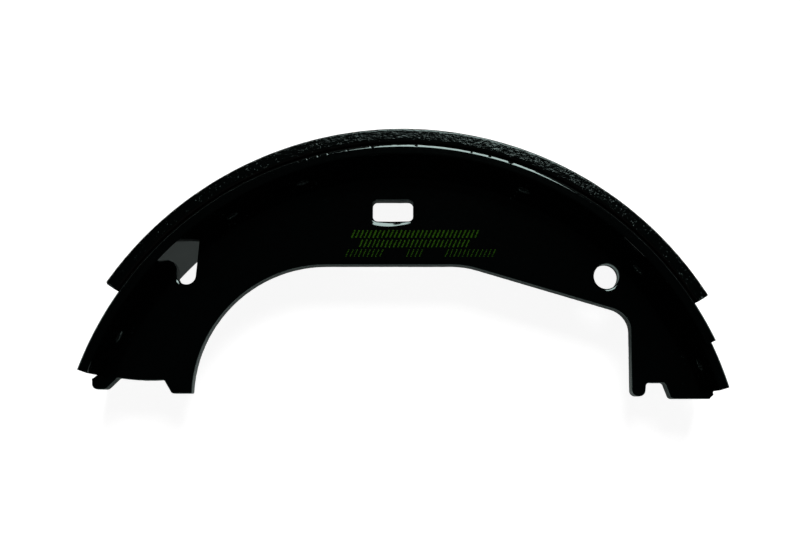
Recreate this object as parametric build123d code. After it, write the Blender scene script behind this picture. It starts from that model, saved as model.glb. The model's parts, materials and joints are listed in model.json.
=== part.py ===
from build123d import *
from math import cos, degrees, radians, sin, sqrt, tan
import os

# Drum brake shoe, built up from a stamped web, a rolled table and a bonded friction lining.
#
# The shoe lies on its side, as it is handled on a bench: the axis of the drum is parallel to Z,
# one edge of the table rests on the plane z = 0, and the friction face looks towards +Y.
# Outlines are laid out from the axis of the drum, and at the end the whole shoe is moved so
# that the middle of its footprint is the origin.  Lengths are in millimetres.  Angles are in
# degrees, counter-clockwise from +X about the axis of the drum.

# ---- drum and shoe ---------------------------------------------------------------------------
drum_radius = 92.5          # bore of the drum, which the friction face fits
shoe_width = 30.0           # width of the table across the drum

# ---- friction lining -------------------------------------------------------------------------
lining_thickness = 3.7
lining_side_inset = 0.2     # the lining stops this far short of each edge of the table
lining_left_end = 145.8
lining_right_end = 31.85
lining_end_round = 0.5      # rubbed corner where an end meets the friction face
lining_bond_bevel = 0.45    # bevel along the two bonded edges

# ---- adhesive --------------------------------------------------------------------------------
adhesive_thickness = 0.3
adhesive_inset = 0.25       # the cured film ends inside the foot of the lining

# ---- table: the strip of steel that carries the lining ---------------------------------------
table_thickness = 2.8
table_edge_round = 0.8      # mill-rounded edges on the side of the lining
table_edge_break = 0.35     # broken edges on the side of the web
table_left_end = 160.35
table_right_end = 16.65
neck_start = 24.9           # from here to the right end the strip is narrower
neck_depth = 4.0            # taken off each edge of the strip

# ---- web: the plate that stiffens the table --------------------------------------------------
web_thickness = 4.0
web_edge_roll = 0.5         # die roll along the punched outline, on the near face
shoulder_reach = 1.1        # how far the feet hook outwards under the ends of the table
shoulder_round = 0.4

# hub side
crown_depth = 26.9          # from the table down to the flat in the middle of the hub side
hub_arc_radius = 35.7       # arc that clears the hub, from the heel up to the flat
slope_start = 16.8          # where the flat breaks into the straight slope
slope_angle = 16.6          # fall of the slope towards the right foot
slope_blend = 24.0
knee_radius = 6.5           # between the slope and the right leg

# left foot, measured from the inner corner of the table's left end
toe_outer = -2.55           # outer side of the toe
toe_outer_drop = 0.8        # top of that side
toe_width = 3.75
toe_drop = 3.6              # lowest point of the toe
toe_round = 1.5
seat_left = 4.35            # corners of the long seat of the anchor
seat_right = 16.75
seat_left_drop = 0.55
seat_right_drop = 1.05
seat_sag = 0.35             # the seat is slightly hollow
seat_round = 0.8
heel_left = 18.9            # foot of the slanted side of the heel
heel_drop = 4.7
heel_width = 5.37           # from there to the arc that clears the hub
heel_round = 0.9

# right foot, measured from the inner corner of the table's right end
leg_width = 20.75           # from the hub side of the leg to that corner
spur_width = 3.55
spur_drop = 1.2
spur_round = 1.65
fork_draft = 0.35           # slant of the hub side of the notch
fork_top_end = 11.9         # the notch ends this far short of the corner, at its top
fork_foot_end = 10.3        # and at its foot
fork_rise = 2.4
fork_round = 0.9
base_drop = 1.9
base_round = 1.2
base_chamfer = 1.05

# openings
slot_length = 10.9          # hold-down slot
slot_height = 5.7
slot_x = -2.62
slot_depth = 12.05          # middle of the slot, below the table
slot_corner = 1.3
slot_roll = 1.0
hole_radius = 3.4           # pivot hole of the lever
hole_angle = 45.39
hole_depth = 7.38           # middle of the hole, inwards from the table
hole_roll = 0.45
keyhole_radius = 2.55       # round end of the notch that opens at the table
keyhole_angle = 136.13
keyhole_depth = 4.75        # middle of the round end, inwards from the table
keyhole_lean = 5.0          # slant of its right side
keyhole_flare = 26.0        # slant of its left side
keyhole_flare_rise = 1.8    # above the middle of the round end, where the flare begins

# ---- welds between web and table -------------------------------------------------------------
weld_angles = (152.6, 122.5, 108.4, 67.5, 42.2, 21.8)
weld_length = 5.0
weld_radius = 0.95
weld_taper = 0.7            # bevel at each end of a bead

# ---- sizes that follow -----------------------------------------------------------------------
lining_inner = drum_radius - lining_thickness
table_outer = lining_inner - adhesive_thickness
table_inner = table_outer - table_thickness
crown_height = table_inner - crown_depth
web_low = (shoe_width - web_thickness) / 2
web_high = web_low + web_thickness
touch = 0.001               # two lengths closer than this are the same


def polar(radius, angle):
    """Point at a radius and an angle about the axis of the drum."""
    return Vector(radius * cos(radians(angle)), radius * sin(radians(angle)))


def lines(*points):
    """Straight edges from each point to the next."""
    return [Edge.make_line(start, end) for start, end in zip(points, points[1:])]


def ring_sector(inner, outer, start, end, low, high):
    """Part of a ring between two angles, from z = low to z = high."""
    middle = (start + end) / 2
    outline = lines(polar(inner, start), polar(outer, start)) + lines(polar(outer, end), polar(inner, end))
    for radius in (inner, outer):
        outline.append(Edge.make_three_point_arc(
            polar(radius, start), polar(radius, middle), polar(radius, end)))
    return Pos(0, 0, low) * extrude(make_face(Wire(outline)), amount=high - low)


def edges_at(solid, radius):
    """Arcs of a solid that run round the axis of the drum at a radius."""
    arcs = solid.edges().filter_by(GeomType.CIRCLE)
    return arcs.filter_by(lambda edge: abs(edge.radius - radius) < touch
                          and Vector(edge.arc_center.X, edge.arc_center.Y).length < touch)


# ---- table and lining ------------------------------------------------------------------------
def build_table():
    """Rolled strip with rounded edges and a narrower right end."""
    strip = ring_sector(table_inner, table_outer, table_right_end, table_left_end, 0, shoe_width)
    spare = table_thickness
    for low in (-spare, shoe_width - neck_depth):
        strip -= ring_sector(table_inner - spare, table_outer + spare,
                             table_right_end - spare, neck_start, low, low + neck_depth + spare)
    strip = fillet(edges_at(strip, table_outer), table_edge_round)
    return chamfer(edges_at(strip, table_inner), table_edge_break)


def build_lining():
    """Moulded block of friction material, bevelled where it is bonded."""
    block = ring_sector(lining_inner, drum_radius, lining_right_end, lining_left_end,
                        lining_side_inset, shoe_width - lining_side_inset)
    corners = block.edges().filter_by(Axis.Z).filter_by(
        lambda edge: Vector((edge @ 0).X, (edge @ 0).Y).length > drum_radius - touch)
    block = fillet(corners, lining_end_round)
    return chamfer(edges_at(block, lining_inner), lining_bond_bevel)


def build_adhesive():
    """Cured film between the table and the lining."""
    end_gap = degrees(adhesive_inset / table_outer)
    side_gap = lining_side_inset + lining_bond_bevel + adhesive_inset
    return ring_sector(table_outer, lining_inner, lining_right_end + end_gap,
                       lining_left_end - end_gap, side_gap, shoe_width - side_gap)


# ---- web -------------------------------------------------------------------------------------
def hub_centre(heel_end):
    """Centre of the arc that runs from the end of the heel up to the flat."""
    y = crown_height - hub_arc_radius
    return Vector(heel_end.X + sqrt(hub_arc_radius ** 2 - (heel_end.Y - y) ** 2), y)


def left_foot():
    """Outline of the left foot and its rounded corners, from the table to the hub side."""
    corner = polar(table_inner, table_left_end)
    shoulder = polar(table_inner + shoulder_reach, table_left_end)
    toe_side = corner + Vector(toe_outer, -toe_outer_drop)
    toe = [corner + Vector(toe_outer, -toe_drop), corner + Vector(toe_outer + toe_width, -toe_drop)]
    seat = [corner + Vector(seat_left, -seat_left_drop),
            corner + Vector(seat_right, -seat_right_drop)]
    sag = (seat[0] + seat[1]) / 2 - Vector(0, seat_sag)
    heel = [corner + Vector(heel_left, -heel_drop), corner + Vector(heel_left + heel_width, -heel_drop)]
    hub = hub_centre(heel[1])

    edges = lines(corner, shoulder, toe_side, *toe, seat[0])
    edges.append(Edge.make_three_point_arc(seat[0], sag, seat[1]))
    edges += lines(seat[1], *heel)
    edges.append(Edge.make_three_point_arc(heel[1], hub + polar(hub_arc_radius, 135),
                                           Vector(hub.X, crown_height)))
    rounds = [(shoulder, shoulder_round), (toe[0], toe_round), (toe[1], toe_round),
              (seat[0], seat_round), (seat[1], seat_round), (heel[0], heel_round),
              (heel[1], shoulder_round)]
    return edges, rounds


def right_foot():
    """Outline of the slope, the leg and the right foot, from the flat to the table."""
    corner = polar(table_inner, table_right_end)
    shoulder = polar(table_inner + shoulder_reach, table_right_end)
    leg_x = corner.X - leg_width
    slope = Vector(slope_start, crown_height)
    knee = Vector(leg_x, crown_height - (leg_x - slope_start) * tan(radians(slope_angle)))
    spur = [Vector(leg_x, corner.Y - spur_drop), Vector(leg_x + spur_width, corner.Y - spur_drop)]
    fork = [Vector(leg_x + spur_width + fork_draft, corner.Y + fork_rise),
            corner + Vector(-fork_top_end, fork_rise)]
    base = [corner + Vector(-fork_foot_end, -base_drop),
            Vector(shoulder.X - base_chamfer, corner.Y - base_drop),
            Vector(shoulder.X, corner.Y - base_drop + base_chamfer)]

    edges = lines(slope, knee, *spur, *fork, *base, shoulder, corner)
    rounds = [(slope, slope_blend), (knee, knee_radius), (spur[0], spur_round),
              (spur[1], spur_round), (fork[0], fork_round), (fork[1], fork_round),
              (base[0], base_round)]
    return edges, rounds


def keyhole():
    """Notch with a round end, which widens towards the table."""
    middle = polar(table_inner - keyhole_depth, keyhole_angle)
    left = middle.X - keyhole_radius
    right = middle.X + keyhole_radius
    flare_y = middle.Y + keyhole_flare_rise
    flare = (table_inner - flare_y) * tan(radians(keyhole_flare))
    lean = (table_inner - middle.Y) * tan(radians(keyhole_lean))
    throat = Polygon((left, middle.Y), (right, middle.Y), (right + lean, table_inner),
                     (left - flare, table_inner), (left, flare_y), align=None)
    return Pos(middle) * Circle(keyhole_radius) + throat


def build_web():
    """Plate with its feet, slot, round hole and keyhole, and the roll left by the punch."""
    left_edges, left_rounds = left_foot()
    right_edges, right_rounds = right_foot()
    seat_arc = Edge.make_three_point_arc(polar(table_inner, table_right_end), polar(table_inner, 90),
                                         polar(table_inner, table_left_end))
    flat = Edge.make_line(left_edges[-1] @ 1, right_edges[0] @ 0)
    plate = make_face(Wire(left_edges + [flat] + right_edges + [seat_arc]))
    for point, radius in left_rounds + right_rounds:
        corner = min(plate.vertices(), key=lambda vertex: (Vector(vertex) - point).length)
        plate = fillet(corner, radius)
    plate -= keyhole()
    plate -= Pos(slot_x, table_inner - slot_depth) * RectangleRounded(slot_length, slot_height, slot_corner)
    plate -= Pos(polar(table_inner - hole_depth, hole_angle)) * Circle(hole_radius)
    solid = Pos(0, 0, web_low) * extrude(plate, amount=web_thickness)
    for radius, choose in ((slot_roll, slot_edges), (hole_roll, hole_edges), (web_edge_roll, rim_edges)):
        solid = fillet(choose(solid.faces().sort_by(Axis.Z)[-1]), radius)
    return solid


def slot_edges(face):
    """Outline of the slot in the near face."""
    return face.inner_wires().sort_by(Axis.X)[0].edges()


def hole_edges(face):
    """Outline of the round hole in the near face."""
    return face.inner_wires().sort_by(Axis.X)[-1].edges()


def rim_edges(face):
    """Outline of the near face, without the arcs that lie against the table."""
    return face.outer_wire().edges().filter_by(
        lambda edge: Vector((edge @ 0.5).X, (edge @ 0.5).Y).length < table_inner - touch)


# ---- welds -----------------------------------------------------------------------------------
def build_welds():
    """Beads of metal squeezed out in the corner between the table and both faces of the web."""
    sweep = degrees(weld_length / table_inner)
    root = Vector(table_inner, 0, web_high)
    on_web = root - Vector(weld_radius, 0, 0)
    on_table = root + Vector(0, 0, weld_radius)
    crest = root + Vector(-weld_radius, 0, weld_radius) * sqrt(0.5)
    section = make_face(Wire(lines(on_table, root, on_web)
                             + [Edge.make_three_point_arc(on_web, crest, on_table)]))
    bead = revolve(section, Axis.Z, sweep)
    rims = bead.edges().filter_by(lambda edge: edge.geom_type == GeomType.CIRCLE
                                  and abs(edge.radius - weld_radius) < touch)
    bead = chamfer(rims, weld_taper)
    pair = [bead, mirror(bead, Plane.XY.offset(shoe_width / 2))]
    return Compound([Rot(0, 0, angle - sweep / 2) * one for angle in weld_angles for one in pair])


# ---- the shoe --------------------------------------------------------------------------------
nodes = {
    "web": build_web(),
    "table": build_table(),
    "friction_lining": build_lining(),
    "adhesive_film": build_adhesive(),
    "weld_beads": build_welds(),
}
footprint = Compound(list(nodes.values())).bounding_box()
to_origin = Pos(-footprint.center().X, -footprint.center().Y, -footprint.min.Z)

os.makedirs("parts", exist_ok=True)
for name, shape in nodes.items():
    export_step(to_origin * shape, f"parts/{name}.step")
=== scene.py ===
"""Looks of a drum brake shoe: black paint, friction lining, welds, studio and camera.

Lengths are in metres unless a name ends in _mm.  The CAD frame has +X along the shoe, +Y
outwards to the crown of the lining and +Z along the axis of the drum.  Angles are in degrees,
counter-clockwise from +X about that axis.
"""

import bmesh
import bpy
import json
from math import atan2, cos, degrees, pi, radians, sin, sqrt
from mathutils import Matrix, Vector, noise
import random


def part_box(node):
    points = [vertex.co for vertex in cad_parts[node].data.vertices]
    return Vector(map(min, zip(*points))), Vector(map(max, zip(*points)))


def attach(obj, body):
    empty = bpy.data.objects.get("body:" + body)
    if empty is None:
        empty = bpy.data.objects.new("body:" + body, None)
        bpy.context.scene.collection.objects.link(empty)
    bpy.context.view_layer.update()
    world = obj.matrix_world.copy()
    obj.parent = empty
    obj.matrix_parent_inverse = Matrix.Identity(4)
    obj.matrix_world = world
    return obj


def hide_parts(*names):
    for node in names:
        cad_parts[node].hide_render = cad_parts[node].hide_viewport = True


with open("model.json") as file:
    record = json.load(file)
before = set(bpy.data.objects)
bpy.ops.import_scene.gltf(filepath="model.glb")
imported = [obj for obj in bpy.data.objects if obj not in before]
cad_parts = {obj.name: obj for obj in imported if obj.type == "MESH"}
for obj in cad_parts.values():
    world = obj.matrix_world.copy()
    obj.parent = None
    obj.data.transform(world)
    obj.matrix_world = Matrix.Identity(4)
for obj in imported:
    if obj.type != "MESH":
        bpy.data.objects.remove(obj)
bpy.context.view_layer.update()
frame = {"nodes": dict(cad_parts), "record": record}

MM = 0.001

# ---- places taken from the frame --------------------------------------------------------------
mounts = {mount["name"]: mount for mount in frame["record"]["mounts"]}
friction_face = mounts["friction_face"]
drum_radius = friction_face["dims"]["r_mm"] * MM
drum_axis = Vector(friction_face["pos_m"]) - Vector(friction_face["axis"]) * drum_radius
drum_axis.z = 0.0
web_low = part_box("web")[0].z
web_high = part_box("web")[1].z
table_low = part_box("table")[0].z
table_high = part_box("table")[1].z
lining_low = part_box("friction_lining")[0].z
lining_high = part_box("friction_lining")[1].z
table_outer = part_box("table")[1].y - drum_axis.y

# ---- sizes that follow the solids -------------------------------------------------------------
table_thickness = 2.8 * MM
table_inner = table_outer - table_thickness
table_ends = (16.65, 160.35)
neck_angle = 24.9
neck_depth = 4.0 * MM
table_edge_break = 0.35 * MM
lining_inner = table_outer + 0.3 * MM
lining_ends = (31.85, 145.8)
weld_angles = (152.6, 122.5, 108.4, 67.5, 42.2, 21.8)


def polar(radius, angle, z=0.0):
    """Point at a radius and an angle about the axis of the drum."""
    return drum_axis + Vector((radius * cos(radians(angle)), radius * sin(radians(angle)), z))


# ---- camera -----------------------------------------------------------------------------------
CAMERA_FROM_AXIS_MM = (-0.71, 13.61, 290.02)
CAMERA_TILT = 3.94          # towards +Y from straight down
CAMERA_SHIFT = 0.12         # the camera's axis meets the picture below its middle
CAMERA_FOCAL_PX = 1021.0
IMAGE_WIDTH_PX = 800
SENSOR_MM = 36.0


def make_camera():
    """Camera above the drum's axis, looking down on the shoe as it lies on its side."""
    data = bpy.data.cameras.new("camera")
    data.sensor_width = SENSOR_MM
    data.lens = CAMERA_FOCAL_PX / IMAGE_WIDTH_PX * SENSOR_MM
    data.shift_y = CAMERA_SHIFT
    data.clip_start = 0.01
    data.clip_end = 20.0
    camera = bpy.data.objects.new("camera", data)
    camera.location = drum_axis + Vector(CAMERA_FROM_AXIS_MM) * MM
    camera.rotation_euler = (radians(CAMERA_TILT), 0.0, 0.0)
    bpy.context.scene.collection.objects.link(camera)
    bpy.context.scene.camera = camera


# ---- studio -----------------------------------------------------------------------------------
def softbox(name, azimuth, zenith, distance, width, height, radiance):
    """Area lamp that faces the shoe.  Azimuth is counter-clockwise from +X, zenith from +Z."""
    data = bpy.data.lights.new(name, "AREA")
    data.shape = "RECTANGLE"
    data.size = width
    data.size_y = height
    data.energy = radiance * width * height * pi
    lamp = bpy.data.objects.new(name, data)
    a, t = radians(azimuth), radians(zenith)
    lamp.location = Vector((cos(a) * sin(t), sin(a) * sin(t), cos(t))) * distance
    lamp.rotation_euler = lamp.location.to_track_quat("Z", "Y").to_euler()
    bpy.context.scene.collection.objects.link(lamp)


LAMPS = (                   # name, azimuth, zenith, distance, width, height, radiance
    ("key", 78, 48, 0.80, 0.34, 0.72, 12.5),
    ("fill_left", 200, 62, 1.1, 0.5, 0.5, 0.5),
    ("fill_right", -20, 62, 1.1, 0.5, 0.5, 0.5),
    ("fill_front", 270, 62, 1.1, 0.5, 0.5, 0.5),
)
CEILING_COLOUR = 0.01
FLOOR_RADIUS = 1.6
FLOOR_TURNS = 96
BACKDROP_RISE = 0.70
BACKDROP_BEND = 0.35
BACKDROP_STEPS = 24
FLOOR_COLOUR = 0.86
FLOOR_SEEN_COLOUR = 0.38    # share of the lamps' light on the floor that a camera sees
FLOOR_SEEN_GLOW = 0.91      # plain white that a camera sees on top of it
MIRROR_GLOW_NEAR = 0.10     # plain white that a reflection sees on top of the lit floor, near the shoe
MIRROR_GLOW_FAR = 0.15      # and far from it, where the lamps hardly reach
MIRROR_NEAR = 0.14
MIRROR_FAR = 0.50
MIRROR_TINT = (0.90, 1.0, 0.97, 1.0)    # what the black paint mirrors looks a little green and blue


def make_studio():
    """Softboxes, a dark ceiling, and a white floor that bends up into a backdrop all round."""
    for lamp in LAMPS:
        softbox(*lamp)

    world = bpy.data.worlds.new("studio")
    world.use_nodes = True
    world.node_tree.nodes["Background"].inputs["Color"].default_value = grey(CEILING_COLOUR)
    bpy.context.scene.world = world

    profile = [(FLOOR_RADIUS - BACKDROP_BEND, 0.0)]
    for k in range(1, BACKDROP_STEPS + 1):
        a = pi / 2 * k / BACKDROP_STEPS
        profile.append((FLOOR_RADIUS - BACKDROP_BEND * (1 - sin(a)), BACKDROP_BEND * (1 - cos(a))))
    profile.append((FLOOR_RADIUS, BACKDROP_RISE))
    mesh = bmesh.new()
    centre = mesh.verts.new((0.0, 0.0, 0.0))
    rings = [circle(mesh, Vector((0.0, 0.0, z)), radius, FLOOR_TURNS) for radius, z in profile]
    for k in range(FLOOR_TURNS):
        n = (k + 1) % FLOOR_TURNS
        mesh.faces.new((centre, rings[0][k], rings[0][n]))
        for low, high in zip(rings, rings[1:]):
            mesh.faces.new((low[k], high[k], high[n], low[n]))
    floor = finish_mesh("floor", mesh)
    floor.data.materials.append(floor_material())


# ---- meshes -----------------------------------------------------------------------------------
def finish_mesh(name, mesh):
    """Object made from a bmesh, shaded smooth, with its normals outwards."""
    bmesh.ops.recalc_face_normals(mesh, faces=mesh.faces[:])
    data = bpy.data.meshes.new(name)
    mesh.to_mesh(data)
    mesh.free()
    for polygon in data.polygons:
        polygon.use_smooth = True
    piece = bpy.data.objects.new(name, data)
    bpy.context.scene.collection.objects.link(piece)
    return piece


def sharpen(piece, angle):
    """Marks edges whose faces meet at more than an angle as sharp."""
    mesh = bmesh.new()
    mesh.from_mesh(piece.data)
    for edge in mesh.edges:
        edge.smooth = len(edge.link_faces) == 2 and edge.calc_face_angle() < radians(angle)
    mesh.to_mesh(piece.data)
    mesh.free()


def circle(mesh, middle, radius, sides):
    """Closed loop of vertices on a level circle."""
    loop = []
    for k in range(sides):
        a = 2 * pi * k / sides
        loop.append(mesh.verts.new(middle + Vector((radius * cos(a), radius * sin(a), 0.0))))
    return loop


def band(mesh, one, other):
    """Faces between two closed loops of vertices, in their order round the loops."""
    size = len(one)
    return [mesh.faces.new((one[k], one[(k + 1) % size], other[(k + 1) % size], other[k]))
            for k in range(size)]


def close_rows(mesh, rows):
    """Skin over rows of vertices, each a closed loop, with a lid at both ends."""
    for one, other in zip(rows, rows[1:]):
        band(mesh, one, other)
    mesh.faces.new(rows[0])
    mesh.faces.new(rows[-1])


# ---- materials --------------------------------------------------------------------------------
class Shader:
    """A node material with a Principled shader, built in a few readable lines."""

    def __init__(self, name):
        self.material = bpy.data.materials.new(name)
        self.material.use_nodes = True
        self.tree = self.material.node_tree
        self.principled = self.tree.nodes["Principled BSDF"]
        self.place = self.node("ShaderNodeTexCoord").outputs["Object"]

    def node(self, kind, inputs=None, **settings):
        """New node; a value in inputs is a number, a colour or an output to link."""
        made = self.tree.nodes.new(kind)
        for key, value in settings.items():
            setattr(made, key, value)
        for key, value in (inputs or {}).items():
            self.put(made.inputs[key], value)
        return made

    def put(self, socket, value):
        """Links an output to a socket, or sets the socket's own value."""
        if isinstance(value, bpy.types.NodeSocket):
            self.tree.links.new(value, socket)
        else:
            socket.default_value = value

    def set(self, **values):
        """Sets the Principled shader's inputs; an underscore stands for a space."""
        for key, value in values.items():
            self.put(self.principled.inputs[key.replace("_", " ")], value)

    def noise(self, size, detail=2.0, roughness=0.5, place=None):
        """Noise whose features are about one size across, in metres."""
        made = self.node("ShaderNodeTexNoise", {"Vector": place or self.place, "Scale": 1.0 / size,
                                                "Detail": detail, "Roughness": roughness})
        return made.outputs["Fac"]

    def cells(self, size):
        """Distance to the nearest of scattered points, as a share of the size between them."""
        made = self.node("ShaderNodeTexVoronoi", {"Vector": self.place, "Scale": 1.0 / size})
        return made.outputs["Distance"]

    def remap(self, value, low, high, to_low, to_high):
        """Value stretched from one range to another and held inside it."""
        made = self.node("ShaderNodeMapRange", {"Value": value, "From Min": low, "From Max": high,
                                                "To Min": to_low, "To Max": to_high})
        return made.outputs["Result"]

    def math(self, operation, first, second=0.0):
        """One arithmetic step."""
        return self.node("ShaderNodeMath", {0: first, 1: second}, operation=operation).outputs[0]

    def blend(self, factor, first, second):
        """Colour between two colours."""
        made = self.node("ShaderNodeMix", data_type="RGBA")
        for index, value in ((0, factor), (6, first), (7, second)):
            self.put(made.inputs[index], value)
        return made.outputs[2]

    def bump(self, height, distance):
        """Normal of a surface whose height, a number near 1, is measured in a distance."""
        inputs = {"Height": height, "Distance": distance, "Strength": 1.0}
        return self.node("ShaderNodeBump", inputs).outputs["Normal"]


def grey(value):
    """Opaque grey of one value."""
    return (value, value, value, 1.0)


def floor_material():
    """Matt white.  The camera and reflections see a plain glow on top of its lit colour."""
    shader = Shader("floor_white")
    path = shader.node("ShaderNodeLightPath").outputs
    mirrored = shader.math("MAXIMUM", path["Is Glossy Ray"], path["Is Transmission Ray"])
    length = shader.node("ShaderNodeVectorMath", {0: shader.place}, operation="LENGTH")
    glow = shader.remap(length.outputs["Value"], MIRROR_NEAR, MIRROR_FAR,
                        MIRROR_GLOW_NEAR, MIRROR_GLOW_FAR)
    glow = shader.math("MULTIPLY", mirrored, glow)
    glow = shader.math("ADD", glow, shader.math("MULTIPLY", path["Is Camera Ray"], FLOOR_SEEN_GLOW))
    tint = shader.blend(mirrored, grey(1.0), MIRROR_TINT)
    white = shader.blend(path["Is Camera Ray"], grey(FLOOR_COLOUR), grey(FLOOR_SEEN_COLOUR))
    colour = shader.node("ShaderNodeVectorMath", {0: white, 1: tint}, operation="MULTIPLY").outputs[0]
    shader.set(Base_Color=colour, Roughness=1.0, Specular_IOR_Level=0.0,
               Emission_Color=tint, Emission_Strength=glow)
    return shader.material


GLOSS_TINT = (0.76, 1.0, 0.95, 1.0)     # the black's highlights are a little green and blue
PAINT_ROUGHNESS = (0.06, 0.09)


def paint_material(name):
    """Gloss black paint over steel, with a fine orange peel and specks of dust."""
    shader = Shader(name)
    peel = shader.noise(1.1 * MM, 2.0)
    black = shader.blend(shader.noise(3.0 * MM, 4.0), (0.00015, 0.00030, 0.00030, 1.0),
                         (0.00040, 0.00060, 0.00065, 1.0))
    dust = shader.remap(shader.cells(3.4 * MM), 0.020, 0.040, 1.0, 0.0)
    shader.set(Base_Color=shader.blend(dust, black, (0.006, 0.0065, 0.0065, 1.0)),
               Roughness=shader.remap(shader.noise(0.8 * MM, 3.0), 0.3, 0.7, *PAINT_ROUGHNESS),
               IOR=1.5, Specular_Tint=GLOSS_TINT, Normal=shader.bump(peel, 0.004 * MM))
    return shader.material


def mottled(name, size, detail, dark, light, roughness, bump, **values):
    """Material whose shade, roughness and height follow one noise; values are the shader's others."""
    shader = Shader(name)
    pattern = shader.noise(size, detail, 0.6)
    shader.set(Base_Color=shader.blend(pattern, dark, light), Normal=shader.bump(pattern, bump),
               Roughness=shader.remap(pattern, 0.3, 0.7, *roughness), **values)
    return shader.material


def torn_material():
    """Paint over the wall that the punch left: it keeps the roughness of the broken steel."""
    return mottled("torn_edge_black", size=0.45 * MM, detail=4.0,
                   dark=(0.0004, 0.0006, 0.0006, 1.0), light=(0.0012, 0.0018, 0.0017, 1.0),
                   roughness=(0.38, 0.46), bump=0.021 * MM,
                   IOR=1.5, Specular_IOR_Level=0.35, Specular_Tint=GLOSS_TINT)


def worn_material():
    """Wall of the round hole near its top, where the hook of the spring has worn it bright."""
    return mottled("worn_edge_steel", size=0.4 * MM, detail=3.0,
                   dark=(0.50, 0.64, 0.61, 1.0), light=(0.74, 0.88, 0.85, 1.0),
                   roughness=(0.10, 0.18), bump=0.006 * MM, Metallic=1.0)


def bead_material():
    """The same black over a weld, whose crusted skin breaks its gloss into small glints."""
    return mottled("weld_black", size=0.30 * MM, detail=3.0,
                   dark=(0.0002, 0.0004, 0.0004, 1.0), light=(0.0008, 0.0012, 0.0012, 1.0),
                   roughness=(0.05, 0.09), bump=0.07 * MM,
                   IOR=1.5, Specular_Tint=GLOSS_TINT)


def from_axis(shader):
    """Outputs for the distance from the drum's axis and the place unrolled round it, in metres."""
    parts = shader.node("ShaderNodeSeparateXYZ", {0: shader.place}).outputs
    x = shader.math("SUBTRACT", parts["X"], drum_axis.x)
    y = shader.math("SUBTRACT", parts["Y"], drum_axis.y)
    squares = shader.math("ADD", shader.math("MULTIPLY", x, x), shader.math("MULTIPLY", y, y))
    radius = shader.math("SQRT", squares)
    arc = shader.math("MULTIPLY", shader.math("ARCTAN2", y, x), drum_radius)
    unrolled = shader.node("ShaderNodeCombineXYZ", {"X": arc, "Y": radius, "Z": parts["Z"]}).outputs[0]
    return radius, unrolled


def shortened(shader, unrolled, share):
    """Unrolled place with its arc cut to a share, so that noise over it is drawn out along it."""
    factors = (share, 1.0, 1.0)
    scaled = shader.node("ShaderNodeVectorMath", {0: unrolled, 1: factors}, operation="MULTIPLY")
    return scaled.outputs[0]


GROUND_FROM = 0.34 * MM     # the look of the ground face starts this deep under it
GROUND_FULL = 0.16 * MM     # and is complete here
GRANULE_HEIGHT = 0.026 * MM
CRUMB_HEIGHT = 2.1          # in heights of a granule
PIT_DEPTH = 0.6             # likewise
CRUMBS_AND_GLINTS_HALVED = -48 * MM    # left of here there are half as many crumbs, and half as many painted glints
CRUMBS_AND_GLINTS_FULL = -40 * MM


def lining_material():
    """Moulded compound: glossy black and granular on the sides, with painted glints; ground, flecked
    and pitted on the face, with painted shade in the pits.
    """
    shader = Shader("friction_compound")
    radius, unrolled = from_axis(shader)
    ground = shader.remap(radius, drum_radius - GROUND_FROM, drum_radius - GROUND_FULL, 0.0, 1.0)

    granules = shader.noise(0.26 * MM, 1.0, 0.4, shortened(shader, unrolled, 0.8))
    points = shader.cells(0.5 * MM)
    along = shader.node("ShaderNodeSeparateXYZ", {0: shader.place}).outputs["X"]
    crowd = shader.math("MULTIPLY", shader.remap(shader.noise(0.9 * MM, 2.0), 0.52, 0.62, 0.0, 1.0),
                        shader.remap(along, CRUMBS_AND_GLINTS_HALVED, CRUMBS_AND_GLINTS_FULL, 0.50, 1.0))
    # Sparse pale specks in the colour of the glossy sides: painted glints.
    painted_glint = shader.math("MULTIPLY", shader.remap(points, 0.10, 0.22, 1.0, 0.0), crowd)
    crumb = shader.math("MULTIPLY", shader.remap(points, 0.04, 0.32, CRUMB_HEIGHT, 0.0), crowd)
    skin = shader.blend(shader.noise(0.6 * MM, 4.0, 0.7), (0.0002, 0.0003, 0.0003, 1.0),
                        (0.0007, 0.0011, 0.0010, 1.0))
    # the black skin takes the pale specks of painted glint
    skin = shader.blend(painted_glint, skin, (0.055, 0.080, 0.075, 1.0))

    body = shader.blend(shader.noise(0.9 * MM, 6.0, 0.75), (0.010, 0.0095, 0.009, 1.0),
                        (0.060, 0.057, 0.053, 1.0))
    fibres = shader.noise(0.22 * MM, 3.0, 0.6, shortened(shader, unrolled, 0.12))
    body = shader.blend(shader.remap(fibres, 0.60, 0.68, 0.0, 0.8), body, (0.11, 0.105, 0.098, 1.0))
    brass = shader.remap(shader.cells(1.5 * MM), 0.08, 0.13, 1.0, 0.0)
    body = shader.blend(brass, body, (0.23, 0.165, 0.080, 1.0))
    # Pits sink in the bump, and their colour is darkened to near black: painted shade in the pits.
    pits = shader.remap(shader.noise(0.5 * MM, 3.0, 0.6), 0.33, 0.40, 1.0, 0.0)
    body = shader.blend(pits, body, grey(0.004))

    crumb = shader.math("MULTIPLY", crumb, shader.math("SUBTRACT", 1.0, ground))
    pit = shader.math("MULTIPLY", shader.math("MULTIPLY", pits, ground), PIT_DEPTH)
    height = shader.math("ADD", granules, shader.math("SUBTRACT", crumb, pit))
    shader.set(Base_Color=shader.blend(ground, skin, body), IOR=1.5, Specular_IOR_Level=0.29,
               Specular_Tint=GLOSS_TINT, Roughness=shader.remap(ground, 0.0, 1.0, 0.10, 0.66),
               Normal=shader.bump(height, GRANULE_HEIGHT))
    return shader.material


def ink_material():
    """Marking ink: matt green droplets."""
    shader = Shader("marking_ink")
    density = shader.noise(0.35 * MM, 2.0)
    green = shader.blend(density, (0.007, 0.028, 0.0006, 1.0), (0.024, 0.088, 0.0012, 1.0))
    shader.set(Base_Color=green, Roughness=0.85, Specular_IOR_Level=0.05)
    return shader.material


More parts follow.
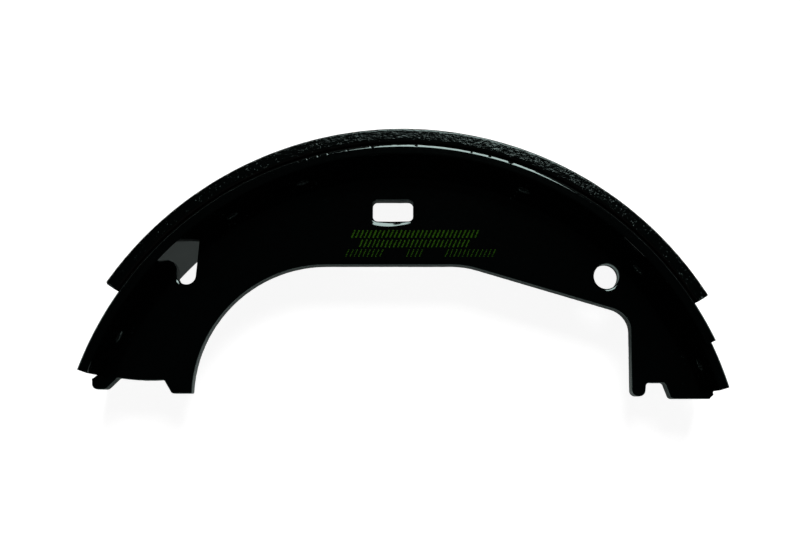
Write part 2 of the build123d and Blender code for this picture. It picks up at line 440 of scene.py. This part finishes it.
def adhesive_material():
    """Cured bonding film: dull black, with small ripples."""
    shader = Shader("bonding_film")
    ripple = shader.noise(0.5 * MM, 3.0, 0.6)
    colour = shader.blend(shader.noise(2.0 * MM, 3.0), (0.0008, 0.0008, 0.0007, 1.0),
                          (0.0020, 0.0019, 0.0018, 1.0))
    shader.set(Base_Color=colour, Roughness=0.6, Specular_IOR_Level=0.0,
               Normal=shader.bump(ripple, 0.05 * MM))
    return shader.material


# ---- lining -----------------------------------------------------------------------------------
LINING_ROUND = 0.42 * MM    # rubbed edges of the block
BOND_BEVEL = 0.85 * MM      # the bonded edges fall away further, and leave a dark groove
LOW_ROUNDS = (LINING_ROUND, BOND_BEVEL, LINING_ROUND)
ROUND_ROWS = 3
GRAIN_STEPS = (0.25 * MM, 0.20 * MM, 0.90 * MM)     # along the arc, outwards and across
GRAIN_SIZE = (0.80 * MM, 0.60 * MM, 0.60 * MM)      # the grain is drawn out along the arc
GRAIN_DEPTH = 0.060 * MM
GROUND_GRAIN = 0.22         # share of the grain that is left on the ground face
SMEARED_ROWS = 2            # rows of faces beside the bond that squeezed-out film covers
CHIP_SIZE = 1.7 * MM
CHIP_DEPTH = 0.34 * MM


def spaced(low, high, step, low_round, high_round):
    """Positions from low to high about a step apart, with closer ones over both rounded ends."""
    first = [low + low_round * k / ROUND_ROWS for k in range(ROUND_ROWS + 1)]
    last = [high - high_round * k / ROUND_ROWS for k in range(ROUND_ROWS, -1, -1)]
    start = first[-1]
    end = last[0]
    count = max(1, round((end - start) / step))
    middle = [start + (end - start) * k / count for k in range(1, count)]
    return first + middle + last


def make_lining():
    """Block whose surface is worn, grainy and chipped along its edges, all inwards."""
    middle_radius = (lining_inner + drum_radius) / 2
    low = Vector((radians(lining_ends[0]) * middle_radius, lining_inner, lining_low))
    high = Vector((radians(lining_ends[1]) * middle_radius, drum_radius, lining_high))
    axes = [spaced(low[i], high[i], GRAIN_STEPS[i], LOW_ROUNDS[i], LINING_ROUND) for i in range(3)]
    counts = [len(values) - 1 for values in axes]
    mesh = bmesh.new()
    made = {}

    def vertex(*index):
        if index not in made:
            made[index] = mesh.verts.new(lining_point(index, axes, low, high, middle_radius))
        return made[index]

    for axis in range(3):
        b, c = [i for i in range(3) if i != axis]
        for side in (0, counts[axis]):
            for j in range(counts[b]):
                for k in range(counts[c]):
                    corners = []
                    for dj, dk in ((0, 0), (1, 0), (1, 1), (0, 1)):
                        index = [0, 0, 0]
                        index[axis], index[b], index[c] = side, j + dj, k + dk
                        corners.append(vertex(*index))
                    rows = {axis: side, b: j, c: k}
                    mesh.faces.new(corners).material_index = int(rows[1] < SMEARED_ROWS)
    piece = finish_mesh("friction_block", mesh)
    piece.data.materials.append(lining_material())
    piece.data.materials.append(adhesive_material())
    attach(piece, "root")
    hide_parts("friction_lining")


def lining_point(index, axes, low, high, middle_radius):
    """Place of one vertex of the block, rounded at the edges and pushed in by its grain."""
    point = Vector([axes[i][index[i]] for i in range(3)])
    bonded = point.y < low.y + BOND_BEVEL
    reach = Vector((LINING_ROUND, BOND_BEVEL if bonded else LINING_ROUND, LINING_ROUND))
    margin = Vector(LOW_ROUNDS)
    core = Vector([min(max(point[i], low[i] + margin[i]), high[i] - LINING_ROUND) for i in range(3)])
    out = Vector([(point[i] - core[i]) / reach[i] for i in range(3)]).normalized()
    rounded = core + Vector([out[i] * reach[i] for i in range(3)])
    edge = min(1.0, 2.0 * min(sum(sorted(abs(v) for v in out)[:2]), 0.5))
    arc, radius, z = rounded
    angle = degrees(arc / middle_radius)
    along = Vector((-sin(radians(angle)), cos(radians(angle)), 0.0))
    radial = Vector((cos(radians(angle)), sin(radians(angle)), 0.0))
    normal = along * out.x + radial * out.y + Vector((0.0, 0.0, out.z))
    return polar(radius, angle, z) - normal * lining_relief(rounded, out, edge)


def lining_relief(place, out, edge):
    """Depth of the grain and of chips at a place of the straightened block."""
    if out.y < -0.5:
        return 0.0
    drawn = Vector([place[i] / GRAIN_SIZE[i] for i in range(3)])
    grain = 0.5 + 0.5 * noise.noise(drawn)
    fine = 0.5 + 0.5 * noise.noise(2.7 * drawn)
    chip = max(0.0, noise.noise(place / CHIP_SIZE) - 0.10) * 2.2
    share = GROUND_GRAIN if out.y > 0.9 else 1.0
    return GRAIN_DEPTH * share * (0.62 * grain + 0.38 * fine) + CHIP_DEPTH * edge * min(chip, 1.0)


# ---- table ------------------------------------------------------------------------------------
TABLE_STEP = 0.22 * MM
EDGE_REACH = 0.86 * MM      # the outer edges are rolled round: reach inwards from the outer face
EDGE_DROP = 0.62 * MM       # and drop below the end face
ROUND_STEPS = 10
SMEARED = range(5, 20)      # faces of the section that squeezed-out bonding film covers
SUPPORT = 0.05 * MM         # strip beside a rounded edge that keeps the flat faces flat
PAINT_WAVE = 0.10 * MM      # thick and thin paint along the rounded edge
WAVE_SIZE = 1.9 * MM
NICK_DEPTH = 0.40 * MM
NICKS = (                   # angle and half width of each nick in the near edge
    (71.4, 0.62 * MM), (75.1, 0.28 * MM), (78.3, 0.22 * MM), (87.8, 0.26 * MM), (95.2, 0.36 * MM),
    (99.4, 0.20 * MM), (102.6, 0.36 * MM), (104.3, 0.42 * MM), (106.2, 0.40 * MM), (107.6, 0.70 * MM),
)


def table_profile(low, high):
    """Section of the strip: loop of (radius, z, outward radius, outward z), the inside last."""
    outer_flat = table_outer - EDGE_REACH - SUPPORT
    loop = [(outer_flat, high, 0, 0)]
    for corner_z, start in ((high - EDGE_DROP, 90), (low + EDGE_DROP, 0)):
        for k in range(ROUND_STEPS + 1):
            a = radians(start - 90 * k / ROUND_STEPS)
            out = Vector((cos(a) / EDGE_REACH, sin(a) / EDGE_DROP)).normalized()
            radius = table_outer - EDGE_REACH + EDGE_REACH * cos(a)
            loop.append((radius, corner_z + EDGE_DROP * sin(a), out.x, out.y))
        if start == 90:
            loop.append((table_outer, high - EDGE_DROP - SUPPORT, 0, 0))
            loop.append((table_outer, low + EDGE_DROP + SUPPORT, 0, 0))
    loop.append((outer_flat, low, 0, 0))
    corner = [
        (table_inner + table_edge_break + SUPPORT, low),
        (table_inner + table_edge_break, low),
        (table_inner + 0.1 * table_edge_break, low + 0.4 * table_edge_break),
        (table_inner, low + table_edge_break),
        (table_inner, low + table_edge_break + SUPPORT),
    ]
    loop += [(radius, z, 0, 0) for radius, z in corner]
    loop += [(radius, low + high - z, 0, 0) for radius, z in reversed(corner)]
    return loop


def table_ring(mesh, angle, low, high):
    """One section of the strip at an angle, with the paint's waves on its rounded edges."""
    ring = []
    for radius, z, out_r, out_z in table_profile(low, high):
        place = polar(radius, angle, z)
        wave = noise.noise(place / WAVE_SIZE) + 0.5 * noise.noise(place / (0.4 * WAVE_SIZE))
        fade = 2 * abs(out_r * out_z)
        depth = PAINT_WAVE * (0.5 + 0.33 * wave) * fade
        for nick, width in NICKS:
            offset = radians(angle - nick) * table_outer / width
            if abs(offset) < 1 and out_z > 0:
                depth += NICK_DEPTH * (1 - abs(offset)) * sqrt(fade)
        ring.append(mesh.verts.new(polar(radius - depth * out_r, angle, z - depth * out_z)))
    return ring


def make_table():
    """Rolled strip whose right end is narrower."""
    neck_span = neck_angle - table_ends[0]
    neck_count = round(radians(neck_span) * table_outer / TABLE_STEP)
    span = table_ends[1] - neck_angle
    count = round(radians(span) * table_outer / TABLE_STEP)
    mesh = bmesh.new()
    rings = []
    for k in range(neck_count + 1):
        angle = table_ends[0] + neck_span * k / neck_count
        rings.append(table_ring(mesh, angle, table_low + neck_depth, table_high - neck_depth))
    for k in range(count + 1):
        rings.append(table_ring(mesh, neck_angle + span * k / count, table_low, table_high))
    for one, other in zip(rings, rings[1:]):
        at = one[0].co - drum_axis
        bonded = lining_ends[0] < degrees(atan2(at.y, at.x)) < lining_ends[1]
        for k, side in enumerate(band(mesh, one, other)):
            side.material_index = int(bonded and k in SMEARED)
    mesh.faces.new(rings[0])
    mesh.faces.new(rings[-1])
    piece = finish_mesh("table_strip", mesh)
    piece.data.materials.append(paint_material("table_black"))
    piece.data.materials.append(adhesive_material())
    sharpen(piece, angle=40)
    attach(piece, "root")
    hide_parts("table")


# ---- web --------------------------------------------------------------------------------------
OUTLINE_STEP = 0.55 * MM
TOUCH = 0.002 * MM
SHARP_TURN = 25             # more than this between two sides of the outline is a true corner
BREAK_SHARE = 0.5           # share of the thickness, from the far face, that broke in the press
BREAK_BLEND = 0.5 * MM
BREAK_DEPTH = 0.10 * MM
BURR_BREAK = 0.12 * MM
WALL_ROWS = 6
ROLL = 0.34 * MM            # width of the rolled edge round the plate
ROLL_UNDER_TABLE = 0.10 * MM
UNDER_TABLE = (17, 160)     # angles between which the plate's outer edge meets the table
ROLL_SHARES = (0.0, 0.12, 0.28, 0.46, 0.66, 0.86, 1.0)
CORNER_ROLL = 0.04 * MM     # the roll at a true corner
BEND_ROLL = 0.7             # and at most on a bend, as a share of the bend's radius
ROLL_GROWTH = 0.6           # it widens by at most this share of the way along the edge
DISH_SLOPE = 0.44           # fall of the dished rim round an opening
DISH_BLEND = 2.0 * MM       # distance over which its way is smoothed round a corner
PAINTED = 0                 # materials of the plate, in their order
TORN = 1
WORN = 2

slot_middle = drum_axis + Vector((-2.62 * MM, 73.65 * MM, 0.0))
hole_middle = polar(78.32 * MM, 45.39)
keyhole_middle = polar(80.95 * MM, 136.13)
RIMS = (                    # middle, reach, roll, dish, angles of its widest and deepest, spread
    (slot_middle, 7.5 * MM, 0.44 * MM, 1.05 * MM, 240, 268, 128),
    (hole_middle, 3.8 * MM, 0.32 * MM, 0.34 * MM, 288, 288, 100),
    (keyhole_middle, 3.0 * MM, 0.25 * MM, 0.45 * MM, 212, 212, 75),
)


def web_outlines():
    """Closed outlines of the plate's far face, with the metal on their left from above."""
    mesh = bmesh.new()
    mesh.from_mesh(frame["nodes"]["web"].data)
    bmesh.ops.remove_doubles(mesh, verts=mesh.verts[:], dist=TOUCH / 2)
    following = {}
    for face in mesh.faces:
        if not is_far_face(face):
            continue
        for loop in face.loops:
            if not all(is_far_face(other) for other in loop.edge.link_faces):
                following[loop.link_loop_next.vert] = loop.vert
    outlines = []
    while following:
        start = next(iter(following))
        outline = [start.co.copy()]
        here = following.pop(start)
        while here is not start:
            outline.append(here.co.copy())
            here = following.pop(here)
        outlines.append(outline)
    mesh.free()
    return outlines


def is_far_face(face):
    """Whether a face of the CAD plate lies on its far side."""
    return all(abs(vertex.co.z - web_low) < TOUCH for vertex in face.verts)


def bell(angle, middle, width):
    """1 at the middle angle, falling smoothly to 0 at a width from it."""
    off = abs((angle - middle + 180) % 360 - 180) / width
    return max(0.0, 1 - off * off)


def rim_size(place):
    """Width of the roll, and width and fall of the dished rim beyond it, at a place of the outline."""
    off = (place - drum_axis).xy
    angle = degrees(atan2(off.y, off.x))
    if off.length > table_inner - TOUCH and UNDER_TABLE[0] < angle < UNDER_TABLE[1]:
        return ROLL_UNDER_TABLE, 0.0, 0.0
    for middle, reach, roll, dish, widest, deepest, spread in RIMS:
        off = (place - middle).xy
        if off.length < reach:
            angle = degrees(atan2(off.y, off.x))
            fall = DISH_SLOPE * bell(angle, deepest, spread) ** 4
            return roll, dish * bell(angle, widest, spread), fall
    return ROLL, 0.0, 0.0


def rim_points(outline):
    """Outline cut into short steps: (place, way into the metal, roll width, dish width and fall)."""
    count = len(outline)
    rims = []
    for i in range(count):
        before = outline[i - 1]
        here = outline[i]
        after = outline[(i + 1) % count]
        one = (here - before).normalized()
        two = (after - here).normalized()
        steps = max(1, round((after - here).length / OUTLINE_STEP))
        turn = degrees(atan2(one.x * two.y - one.y * two.x, one.dot(two)))
        limit = 1.0
        if turn > SHARP_TURN:
            limit = CORNER_ROLL
        elif turn > 1.0:
            bend = min((here - before).length, (after - here).length) / radians(turn)
            limit = BEND_ROLL * bend
        for k in range(steps):
            side = one + two if k == 0 else two
            into = Vector((-side.y, side.x, 0.0)).normalized()
            into /= max(0.5, into.dot(Vector((-two.y, two.x, 0.0))))
            place = here.lerp(after, k / steps)
            roll, dish, fall = rim_size(place)
            rims.append([place, into, min(roll, limit) if k == 0 else roll, dish, fall])
    for order in (range(-len(rims), len(rims)), range(len(rims) - 1, -len(rims), -1)):
        last = None
        for i in order:
            if last is not None:
                room = ROLL_GROWTH * (rims[i][0] - last[0]).length
                rims[i][2] = min(rims[i][2], last[2] + room)
                rims[i][3] = min(rims[i][3], last[3] + room)
            last = rims[i]
    ways = [(rim[0], rim[1]) for rim in rims]
    for rim in rims:
        if rim[3] > TOUCH:
            near = [way for place, way in ways if (place - rim[0]).length < DISH_BLEND]
            rim[1] = sum(near, Vector()).normalized()
    return rims


def rim_rings(mesh, rims):
    """Rings of vertices from the near face over the rolled edge and down the wall to the far face."""
    break_z = web_low + BREAK_SHARE * (web_high - web_low)
    low = web_low + BURR_BREAK
    columns = []
    for place, into, roll, dish, fall in rims:
        width = roll + dish
        column = [(width + SUPPORT, web_high)]
        for share in reversed(ROLL_SHARES):
            inset = width * share
            drop = roll * (1 - sqrt(1 - (1 - min(inset / roll, 1.0)) ** 2))
            drop += fall * dish * (1 - share) ** 1.1
            column.append((inset, web_high - drop))
        top = column[-1][1]
        for k in range(1, WALL_ROWS + 1):
            z = top + (low - top) * k / WALL_ROWS
            torn = max(0.0, min(1.0, (break_z - z) / BREAK_BLEND))
            rough = 0.5 + 0.5 * noise.noise(place / (0.8 * MM) + Vector((0, 0, z / (1.6 * MM))))
            column.append((BREAK_DEPTH * torn * (0.4 + 0.6 * rough), z))
        column.append((column[-1][0] + BURR_BREAK, web_low))
        column.append((column[-1][0] + SUPPORT, web_low))
        made = []
        for inset, z in column:
            at = place + into * inset
            made.append(mesh.verts.new((at.x, at.y, z)))
        columns.append(made)
    return list(zip(*columns))


def make_web():
    """Punched plate with a rolled near edge and a sheared and torn wall."""
    mesh = bmesh.new()
    near = []
    far = []
    wall = len(ROLL_SHARES)
    for outline in web_outlines():
        rings = rim_rings(mesh, rim_points(outline))
        size = len(rings[0])
        round_hole = (outline[0] - hole_middle).xy.length < 4 * MM
        for row, (one, other) in enumerate(zip(rings, rings[1:])):
            finish = PAINTED
            if wall <= row < wall + WALL_ROWS:
                finish = WORN if round_hole and row < wall + WALL_ROWS / 2 else TORN
            for side in band(mesh, one, other):
                side.material_index = finish
        for ring, edges in ((rings[0], near), (rings[-1], far)):
            edges += [mesh.edges.get((ring[k], ring[(k + 1) % size])) for k in range(size)]
    for edges, side in ((near, 1.0), (far, -1.0)):
        bmesh.ops.triangle_fill(mesh, use_beauty=True, edges=edges, normal=(0.0, 0.0, side))
    piece = finish_mesh("web_plate", mesh)
    piece.data.materials.append(paint_material("web_black"))
    piece.data.materials.append(torn_material())
    piece.data.materials.append(worn_material())
    sharpen(piece, angle=42)
    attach(piece, "root")
    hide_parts("web")


# ---- welds ------------------------------------------------------------------------------------
BEAD_LENGTH = 3.5 * MM
BEAD_RADIUS = 0.55 * MM
BEAD_SINK = 0.1 * MM        # the root of a bead lies this deep in the corner
BEAD_STEPS = 36
BEAD_TURNS = 10
SPATTER_COUNT = 5
SPATTER_REACH = 4.5 * MM
SPATTER_INWARDS_MM = (0.8, 3.4)
SPATTER_SIZE_MM = (0.10, 0.24)
DROP_STEPS = 6
DROP_TURNS = 10


def make_welds():
    """Lumpy beads in the corners between web and table, each with a few drops of spatter."""
    draw = random.Random(7)
    mesh = bmesh.new()
    for angle in weld_angles:
        for face_z, up in ((web_high, 1.0), (web_low, -1.0)):
            add_bead(mesh, angle, face_z, up, draw)
            for _ in range(SPATTER_COUNT):
                side = draw.uniform(-1.0, 1.0) * SPATTER_REACH
                inwards = draw.uniform(*SPATTER_INWARDS_MM) * MM
                size = draw.uniform(*SPATTER_SIZE_MM) * MM
                place = polar(table_inner - inwards, angle + degrees(side / table_inner), face_z)
                add_drop(mesh, place, size, up)
    piece = finish_mesh("weld_lumps", mesh)
    piece.data.materials.append(bead_material())
    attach(piece, "root")
    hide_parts("weld_beads")


def add_bead(mesh, angle, face_z, up, draw):
    """One bead: a quarter of a lumpy spindle whose root lies in the corner."""
    shift = Vector([draw.uniform(-9, 9) for _ in range(3)])
    rows = []
    for i in range(BEAD_STEPS + 1):
        u = 2 * i / BEAD_STEPS - 1
        here = angle + degrees(u * BEAD_LENGTH / 2 / table_inner)
        swell = max(0.0, 1 - u * u) ** 0.55
        row = [mesh.verts.new(polar(table_inner + BEAD_SINK, here, face_z - up * BEAD_SINK))]
        for j in range(BEAD_TURNS + 1):
            a = pi / 2 * j / BEAD_TURNS
            lump = 0.66 + 0.80 * noise.noise(shift + Vector((6.0 * u, 3.4 * cos(a), 3.4 * sin(a))))
            reach = BEAD_RADIUS * (0.12 + swell * lump)
            z = face_z + up * reach * sin(a)
            row.append(mesh.verts.new(polar(table_inner - reach * cos(a), here, z)))
        rows.append(row)
    close_rows(mesh, rows)


def add_drop(mesh, place, size, up):
    """One flattened drop of spatter, sunk a little into the face it fell on."""
    rows = []
    for i in range(DROP_STEPS):
        a = pi / 2 * i / DROP_STEPS
        height = up * size * (0.62 * sin(a) - 0.1)
        rows.append(circle(mesh, place + Vector((0.0, 0.0, height)), size * cos(a), DROP_TURNS))
    close_rows(mesh, rows)


# ---- marking ----------------------------------------------------------------------------------
DOT_PITCH = 0.42 * MM
DOT_RADIUS = 0.25 * MM
DOT_HEIGHT = 0.03 * MM
DOT_JITTER_MM = 0.04
DOT_SIDES = 10
MARK_ROWS = (               # start, end and foot from the drum's axis in mm, and share of ink
    (-13.7, 20.7, 66.4, 1.0),
    (-11.6, 18.3, 63.8, 0.86),
    (-15.3, -4.6, 61.2, 0.66),
    (1.1, 6.2, 61.2, 0.66),
    (11.6, 25.5, 61.2, 0.66),
)
HATCH_ROWS = 5              # dots in each slanted stroke
HATCH_PITCH = 1.15 * MM     # from stroke to stroke
HATCH_SLANT = 0.45


def make_marking():
    """Plain hatched bands in dots of ink: a generic mark that says nothing."""
    draw = random.Random(11)
    mesh = bmesh.new()
    for start, end, foot, share in MARK_ROWS:
        lean = (HATCH_ROWS - 1) * DOT_PITCH * HATCH_SLANT
        strokes = int(((end - start) * MM - lean) / HATCH_PITCH) + 1
        for stroke in range(strokes):
            for row in range(HATCH_ROWS):
                x = start * MM + stroke * HATCH_PITCH + row * DOT_PITCH * HATCH_SLANT
                y = foot * MM + row * DOT_PITCH
                jitter = Vector((draw.uniform(-1, 1), draw.uniform(-1, 1), 0.0)) * DOT_JITTER_MM * MM
                radius = DOT_RADIUS * share * draw.uniform(0.8, 1.1)
                add_dot(mesh, drum_axis + Vector((x, y, web_high)) + jitter, radius)
    piece = finish_mesh("ink_dots", mesh)
    piece.data.materials.append(ink_material())
    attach(piece, "root")


def add_dot(mesh, place, radius):
    """One low domed droplet of ink."""
    rows = []
    for share, height in ((1.0, -0.3), (1.0, 0.4), (0.8, 0.85), (0.4, 1.0)):
        middle = place + Vector((0.0, 0.0, height * DOT_HEIGHT))
        rows.append(circle(mesh, middle, radius * share, DOT_SIDES))
    close_rows(mesh, rows)


# ---- CAD nodes that stay ----------------------------------------------------------------------
def dress(node, material):
    """Gives a CAD node that stays its material."""
    piece = frame["nodes"][node]
    if not piece.material_slots:
        piece.data.materials.append(material)
    for slot in piece.material_slots:
        slot.material = material


make_camera()
make_studio()
make_table()
make_lining()
make_web()
make_welds()
make_marking()
dress("adhesive_film", adhesive_material())

bpy.context.scene.view_settings.view_transform = "Standard"
